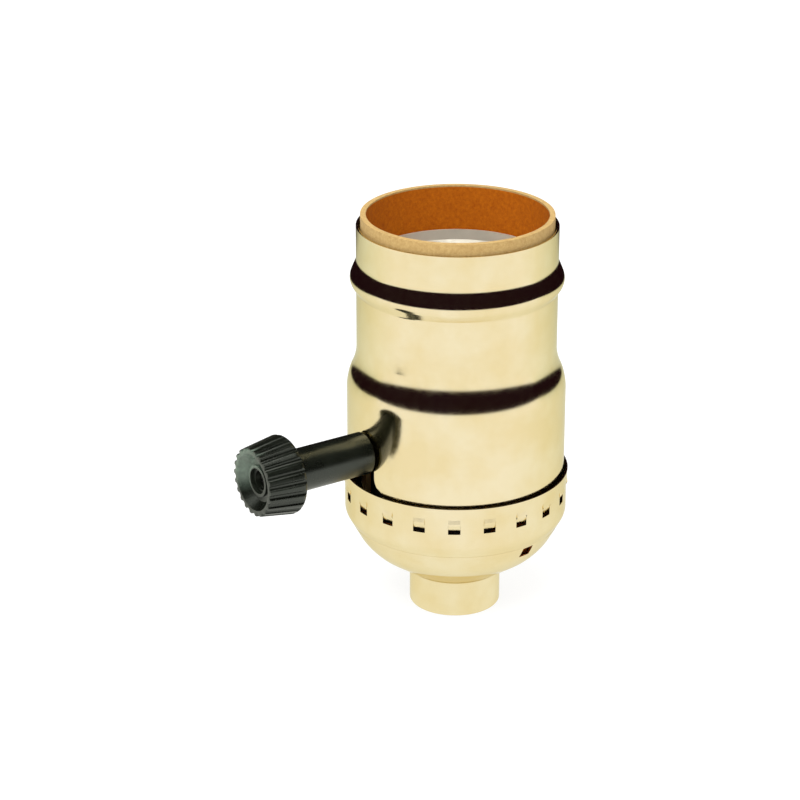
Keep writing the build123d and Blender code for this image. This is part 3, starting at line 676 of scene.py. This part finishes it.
class SOCKET_OT_cap(bpy.types.Operator):
    """Models the drawn brass cap with its hub, crease, lances and punched hole"""

    bl_idname = "socket.cap"
    bl_label = "Brass Cap"

    def execute(self, context):
        sizes = context.scene.socket_cap
        colours = context.scene.socket_colours
        self.band_radius = cap_rim_radius - sizes.rim_flare
        cap = draw_line("brass_cap", self.outline(sizes), round_step=radians(3))
        lathe(cap, steps=200)
        thicken(cap, sizes.sheet)
        cut(cap, join(self.window_cutters(sizes), self.hole_cutter(sizes)))
        join(cap, self.flaps(sizes))
        soften(cap, sizes.edge)
        brass = metal("bright_brass_cap", colours.brass, colours.brass_deep, 0.15, DRAWN)
        stand_for(cap, "cap", "base", brass)
        return {"FINISHED"}

    def outline(self, sizes):
        """The cap's outside, from the hub's lip to the flared rim."""
        bowl = Vector((self.band_radius - sizes.bowl_step, 0, sizes.bowl))
        band = Vector((self.band_radius, 0, sizes.band))
        along = (band - bowl).normalized()
        outwards = Vector((along.z, 0, -along.x))
        crease = bowl + along * (sizes.crease - sizes.bowl) / along.z
        crease_bottom = crease - outwards * sizes.crease_depth
        before = crease - along * sizes.crease_half
        after = crease + along * sizes.crease_half
        rim_lift = sizes.sheet * sizes.rim_flare / (cap_high.z - sizes.flare_from)
        return [
            (sizes.hub - sizes.hub_lip, 0, 0, 0),
            (sizes.hub, 0, 0, sizes.hub_edge),
            (sizes.hub, 0, sizes.hub_top, sizes.hub_bend),
            (*bowl, sizes.bowl_bend),
            (*before, 0),
            (*crease_bottom, sizes.crease_half / 2),
            (*after, 0),
            (*band, sizes.band_bend),
            (self.band_radius, 0, sizes.flare_from, sizes.flare_bend),
            (cap_rim_radius, 0, cap_high.z - rim_lift, 0),
        ]

    def window_cutters(self, sizes):
        """The windows that the lances leave in the band."""
        middle = (self.band_radius, 0, sizes.lance_top - sizes.lance_high / 2)
        window = box_at("window", middle, (2 * CUT_PAST, sizes.lance_wide, sizes.lance_high))
        copy_round(window, sizes.lances)
        return window

    def hole_cutter(self, sizes):
        """The punched hole in the bowl."""
        place = (self.band_radius, 0, sizes.hole)
        hole = box_at("hole", place, (self.band_radius / 2, sizes.hole_wide, sizes.hole_high))
        hole.rotation_euler.z = sizes.hole_angle
        bpy.ops.object.transform_apply(rotation=True)
        return hole

    def flaps(self, sizes):
        """The lances' flaps, bent inwards from the windows' upper edges."""
        lean = Vector((-sin(sizes.lance_bend), 0, -cos(sizes.lance_bend)))
        top = Vector((self.band_radius, 0, sizes.lance_top))
        knee = top - Vector((0, 0, sizes.lance_gap))
        flap = draw_line(
            "flap", [(*top, 0), (*knee, sizes.sheet), (*(knee + lean * sizes.lance_long), 0)]
        )
        wide = sizes.lance_wide - 2 * sizes.lance_gap
        bpy.ops.mesh.select_all(action="SELECT")
        bpy.ops.transform.translate(value=(0, -wide / 2, 0))
        bpy.ops.mesh.extrude_region_move(TRANSFORM_OT_translate={"value": (0, wide, 0)})
        face_towards(flap, Vector((1, 0, 0)))
        thicken(flap, sizes.sheet)
        copy_round(flap, sizes.lances)
        return flap


class SOCKET_OT_sleeve(bpy.types.Operator):
    """Models the fibre sleeve with its slot for the shaft"""

    bl_idname = "socket.sleeve"
    bl_label = "Fibre Sleeve"

    def execute(self, context):
        sizes = context.scene.socket_sleeve
        colours = context.scene.socket_colours
        ends = [(sleeve_radius, 0, end.z, 0) for end in (sleeve_low, sleeve_high)]
        sleeve = draw_line("fibre_sleeve", ends)
        lathe(sleeve, steps=160)
        thicken(sleeve, sizes.wall)
        cut(sleeve, self.slot_cutter(sizes))
        soften(sleeve, sizes.edge)
        skin = sleeve_radius - sizes.wall + sizes.glaze
        finish = fibre("brown_fibre_sleeve", colours, skin, sleeve_high.z - sizes.bare_top)
        stand_for(sleeve, "insulating_sleeve", "shell", finish)
        return {"FINISHED"}

    def slot_cutter(self, sizes):
        """The slot's shape, pushed out through the sleeve's wall."""
        top = shaft_height + sizes.slot
        below = sleeve_low.z - CUT_PAST
        inside = -sleeve_radius / 2
        # A little short of a half round, so that the two bends stay apart
        bend = 0.99 * sizes.slot
        outline = [
            (inside, -sizes.slot, below, 0),
            (inside, sizes.slot, below, 0),
            (inside, sizes.slot, top, bend),
            (inside, -sizes.slot, top, bend),
        ]
        return push_out("slot_cutter", outline, (-sleeve_radius, 0, 0))


class SOCKET_OT_knob(bpy.types.Operator):
    """Models the moulded knob: a barrel and a tapered head with flutes and a dished face"""

    bl_idname = "socket.knob"
    bl_label = "Knob"

    def execute(self, context):
        sizes = context.scene.socket_knob
        colours = context.scene.socket_colours
        face, end = knob_low.x, knob_high.x
        back = face + sizes.head
        floor = face + sizes.dish
        boss = face + sizes.boss_drop
        outline = [
            (end, sizes.bore, 0),
            (end, sizes.barrel - sizes.barrel_edge, 0),
            (end - sizes.barrel_edge, sizes.barrel, 0),
            (back, sizes.barrel, 0),
            (back, sizes.back, sizes.back_edge),
            (face, sizes.face, 0),
            (face, sizes.face - sizes.rim, 0),
            (floor, sizes.dish_floor, 0),
            (floor, sizes.boss, 0),
            (boss, sizes.boss, 0),
            (boss, sizes.mouth, 0),
            (boss + sizes.mouth_deep, sizes.mouth, 0),
            (boss + sizes.mouth_deep, sizes.bore, 0),
        ]
        corners = [(x, 0, shaft_height + radius, bend) for x, radius, bend in outline]
        knob = draw_line("fluted_knob", corners, closed=True)
        steps = sizes.flutes * STEPS_PER_FLUTE
        lathe(knob, steps, centre=(0, 0, shaft_height), axis=SHAFT_AXIS)
        cut(knob, self.flute_cutters(sizes, face))
        soften(knob, sizes.edge, sharp=radians(30))
        stand_for(knob, "knob", "knob", knob_finish(colours, sizes))
        return {"FINISHED"}

    def flute_cutters(self, sizes, face):
        """Rods that lie along the head's taper and cut its flutes."""
        taper = (sizes.back - sizes.face) / sizes.head
        radius = (sizes.back + sizes.face) / 2 + sizes.flute - sizes.flute_depth
        clear_selection()
        bpy.ops.mesh.primitive_cylinder_add(
            vertices=24,
            radius=sizes.flute,
            depth=2 * sizes.head,
            location=(face + sizes.head / 2, 0, shaft_height + radius),
            rotation=(0, pi / 2 - taper, 0),
        )
        rods = bpy.context.object
        bpy.ops.object.transform_apply(location=True, rotation=True, scale=True)
        copy_round(rods, sizes.flutes, centre=(0, 0, shaft_height), axis="X")
        return rods


class SOCKET_OT_finishes(bpy.types.Operator):
    """Gives the pieces that keep their shape a finish of their own"""

    bl_idname = "socket.finishes"
    bl_label = "Inner Pieces"

    def execute(self, context):
        colours = context.scene.socket_colours
        moulded = moulding("black_phenolic", colours.phenolic, 0.45, 0.02 * MM)
        strip = metal("contact_brass", colours.contact_brass, darker(colours.contact_brass), 0.3)
        turned = metal(
            "turned_brass", colours.turned_brass, darker(colours.turned_brass), 0.28, TURNED
        )
        steel = metal("plated_steel", colours.steel, darker(colours.steel), 0.28)
        spring = metal("blued_spring_steel", colours.spring, darker(colours.spring), 0.35)
        rolled = metal(
            "rolled_aluminium", colours.aluminium, darker(colours.aluminium), 0.42, ROLLED,
            edge=PLAIN_EDGE, metallic=0.6,
        )
        liner = fibre("brown_fibre_liner", colours, cap_rim_radius, cap_high.z)
        finishes = {
            moulded: ("housing_base", "switch_housing", "switch_rotor"),
            strip: (
                "centre_contact", "contact_rivet", "fixed_contact", "line_terminal",
                "neutral_strap", "moving_contacts",
            ),
            turned: ("cap_bushing", "line_screw"),
            steel: ("housing_rivets", "shell_screws", "neutral_screw", "switch_shaft"),
            spring: ("detent_spring",),
            rolled: ("screw_shell",),
            liner: ("cap_liner",),
        }
        for finish, nodes in finishes.items():
            for node in nodes:
                dress(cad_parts[node], finish)
        return {"FINISHED"}


class SOCKET_OT_stage(bpy.types.Operator):
    """Sets the pale floor, the soft lamps, the surroundings and the camera"""

    bl_idname = "socket.stage"
    bl_label = "Stage"

    def execute(self, context):
        settings = context.scene.socket_stage
        clear_selection()
        bpy.ops.mesh.primitive_plane_add(size=settings.floor)
        floor = context.object
        floor.name = "floor"
        dress(floor, floor_finish())
        place_camera(settings)
        add_lamp("key_lamp", (-0.55, -0.35, 0.9), 0.6, settings.key)
        add_lamp("fill_lamp", (0.7, -0.5, 0.8), 0.7, settings.fill)
        add_lamp("back_lamp", (-0.42, 0.3, 0.75), 0.5, settings.back, in_gloss=True)
        add_lamp("mouth_lamp", (-0.15, -0.2, 1.0), 0.6, settings.mouth, in_gloss=True)
        set_surroundings(context.scene)
        context.scene.view_settings.view_transform = "Standard"
        return {"FINISHED"}


def floor_finish():
    """A white floor that keeps a soft shadow, and grows dim and ends towards the back in reflections."""
    material = bpy.data.materials.new("white_floor")
    material.use_nodes = True
    tree = material.node_tree
    tree.nodes.clear()
    link = tree.links.new
    seen = tree.nodes.new("ShaderNodeLightPath")
    place = tree.nodes.new("ShaderNodeTexCoord")
    behind = tree.nodes.new("ShaderNodeVectorMath")
    glow = tree.nodes.new("ShaderNodeEmission")
    mirrored = tree.nodes.new("ShaderNodeEmission")
    shade = tree.nodes.new("ShaderNodeBsdfDiffuse")
    plain = tree.nodes.new("ShaderNodeBsdfDiffuse")
    both = tree.nodes.new("ShaderNodeAddShader")
    by_gloss = tree.nodes.new("ShaderNodeMixShader")
    by_sight = tree.nodes.new("ShaderNodeMixShader")
    output = tree.nodes.new("ShaderNodeOutputMaterial")
    glow.inputs["Strength"].default_value = FLOOR_GLOW
    shade.inputs["Color"].default_value = FLOOR_SHADE
    plain.inputs["Color"].default_value = FLOOR_PLAIN
    behind.operation = "DOT_PRODUCT"
    behind.inputs[1].default_value = BACKWARDS
    link(place.outputs["Object"], behind.inputs[0])
    reach = span(tree, behind.outputs["Value"], 0, 1, *FLOOR_REACH)
    link(fade(tree, reach, FLOOR_TONES), mirrored.inputs["Color"])
    link(seen.outputs["Is Glossy Ray"], by_gloss.inputs["Fac"])
    link(plain.outputs[0], by_gloss.inputs[1])
    link(mirrored.outputs[0], by_gloss.inputs[2])
    link(glow.outputs[0], both.inputs[0])
    link(shade.outputs[0], both.inputs[1])
    link(seen.outputs["Is Camera Ray"], by_sight.inputs["Fac"])
    link(by_gloss.outputs[0], by_sight.inputs[1])
    link(both.outputs[0], by_sight.inputs[2])
    link(by_sight.outputs[0], output.inputs["Surface"])
    return material


def place_camera(settings):
    """The camera, with its sight along a given direction and its top upwards."""
    data = bpy.data.cameras.new("camera")
    data.lens = settings.lens
    data.clip_start = 10 * MM
    camera = bpy.data.objects.new("camera", data)
    camera.location = settings.camera
    camera.rotation_euler = Vector(settings.sight).to_track_quat("-Z", "Y").to_euler()
    bpy.context.scene.collection.objects.link(camera)
    bpy.context.scene.camera = camera


def add_lamp(name, place, size, power, in_gloss=False):
    """A square soft lamp that points at the socket's middle."""
    data = bpy.data.lights.new(name, "AREA")
    data.size = size
    data.energy = power
    lamp = bpy.data.objects.new(name, data)
    lamp.location = place
    aim = Vector((0, 0, shaft_height)) - Vector(place)
    lamp.rotation_euler = aim.to_track_quat("-Z", "Y").to_euler()
    lamp.visible_glossy = in_gloss
    bpy.context.scene.collection.objects.link(lamp)


def set_surroundings(scene):
    """White where it is seen directly, and dark above the horizon in reflections."""
    world = bpy.data.worlds.new("studio")
    scene.world = world
    world.use_nodes = True
    tree = world.node_tree
    tree.nodes.clear()
    link = tree.links.new
    place = tree.nodes.new("ShaderNodeTexCoord")
    rise = tree.nodes.new("ShaderNodeVectorMath")
    seen = tree.nodes.new("ShaderNodeLightPath")
    mirrored = tree.nodes.new("ShaderNodeBackground")
    ambient = tree.nodes.new("ShaderNodeBackground")
    white = tree.nodes.new("ShaderNodeBackground")
    by_gloss = tree.nodes.new("ShaderNodeMixShader")
    by_sight = tree.nodes.new("ShaderNodeMixShader")
    output = tree.nodes.new("ShaderNodeOutputWorld")
    rise.operation = "DOT_PRODUCT"
    rise.inputs[1].default_value = SOCKET_AXIS + HORIZON_LEAN * BACKWARDS
    ambient.inputs["Color"].default_value = (1, 1, 1, 1)
    ambient.inputs["Strength"].default_value = AMBIENT
    white.inputs["Color"].default_value = (1, 1, 1, 1)
    link(place.outputs["Generated"], rise.inputs[0])
    horizon = span(tree, rise.outputs["Value"], 0, 1, *HORIZON)
    link(between(tree, horizon, (1, 1, 1), DARK, 0, 1), mirrored.inputs["Color"])
    link(seen.outputs["Is Glossy Ray"], by_gloss.inputs["Fac"])
    link(ambient.outputs[0], by_gloss.inputs[1])
    link(mirrored.outputs[0], by_gloss.inputs[2])
    link(seen.outputs["Is Camera Ray"], by_sight.inputs["Fac"])
    link(by_gloss.outputs[0], by_sight.inputs[1])
    link(white.outputs[0], by_sight.inputs[2])
    link(by_sight.outputs[0], output.inputs["Surface"])


GROUPS = (
    ("socket_shell", ShellSizes),
    ("socket_cap", CapSizes),
    ("socket_sleeve", SleeveSizes),
    ("socket_knob", KnobSizes),
    ("socket_colours", SocketColours),
    ("socket_stage", StageSettings),
)
OPERATORS = (
    SOCKET_OT_shell,
    SOCKET_OT_cap,
    SOCKET_OT_sleeve,
    SOCKET_OT_knob,
    SOCKET_OT_finishes,
    SOCKET_OT_stage,
)


class SOCKET_PT_panel(bpy.types.Panel):
    """Lists the pieces, their sizes and their colours"""

    bl_idname = "SOCKET_PT_panel"
    bl_label = "Lamp Socket"
    bl_space_type = "VIEW_3D"
    bl_region_type = "UI"
    bl_category = "Socket"

    def draw(self, context):
        for operator in OPERATORS:
            self.layout.operator(operator.bl_idname)
        for name, group in GROUPS:
            box = self.layout.box()
            for size in group.__annotations__:
                box.prop(getattr(context.scene, name), size)


def register():
    """Registers the classes and their settings on the scene."""
    for name, group in GROUPS:
        bpy.utils.register_class(group)
        setattr(bpy.types.Scene, name, PointerProperty(type=group))
    for operator in OPERATORS:
        bpy.utils.register_class(operator)
    bpy.utils.register_class(SOCKET_PT_panel)


def unregister():
    """Takes the classes and their settings away again."""
    bpy.utils.unregister_class(SOCKET_PT_panel)
    for operator in reversed(OPERATORS):
        bpy.utils.unregister_class(operator)
    for name, group in reversed(GROUPS):
        delattr(bpy.types.Scene, name)
        bpy.utils.unregister_class(group)


def main():
    """Makes every piece in order."""
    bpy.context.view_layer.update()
    register()
    bpy.ops.socket.shell()
    bpy.ops.socket.cap()
    bpy.ops.socket.sleeve()
    bpy.ops.socket.knob()
    bpy.ops.socket.finishes()
    bpy.ops.socket.stage()


if __name__ == "__main__":
    main()
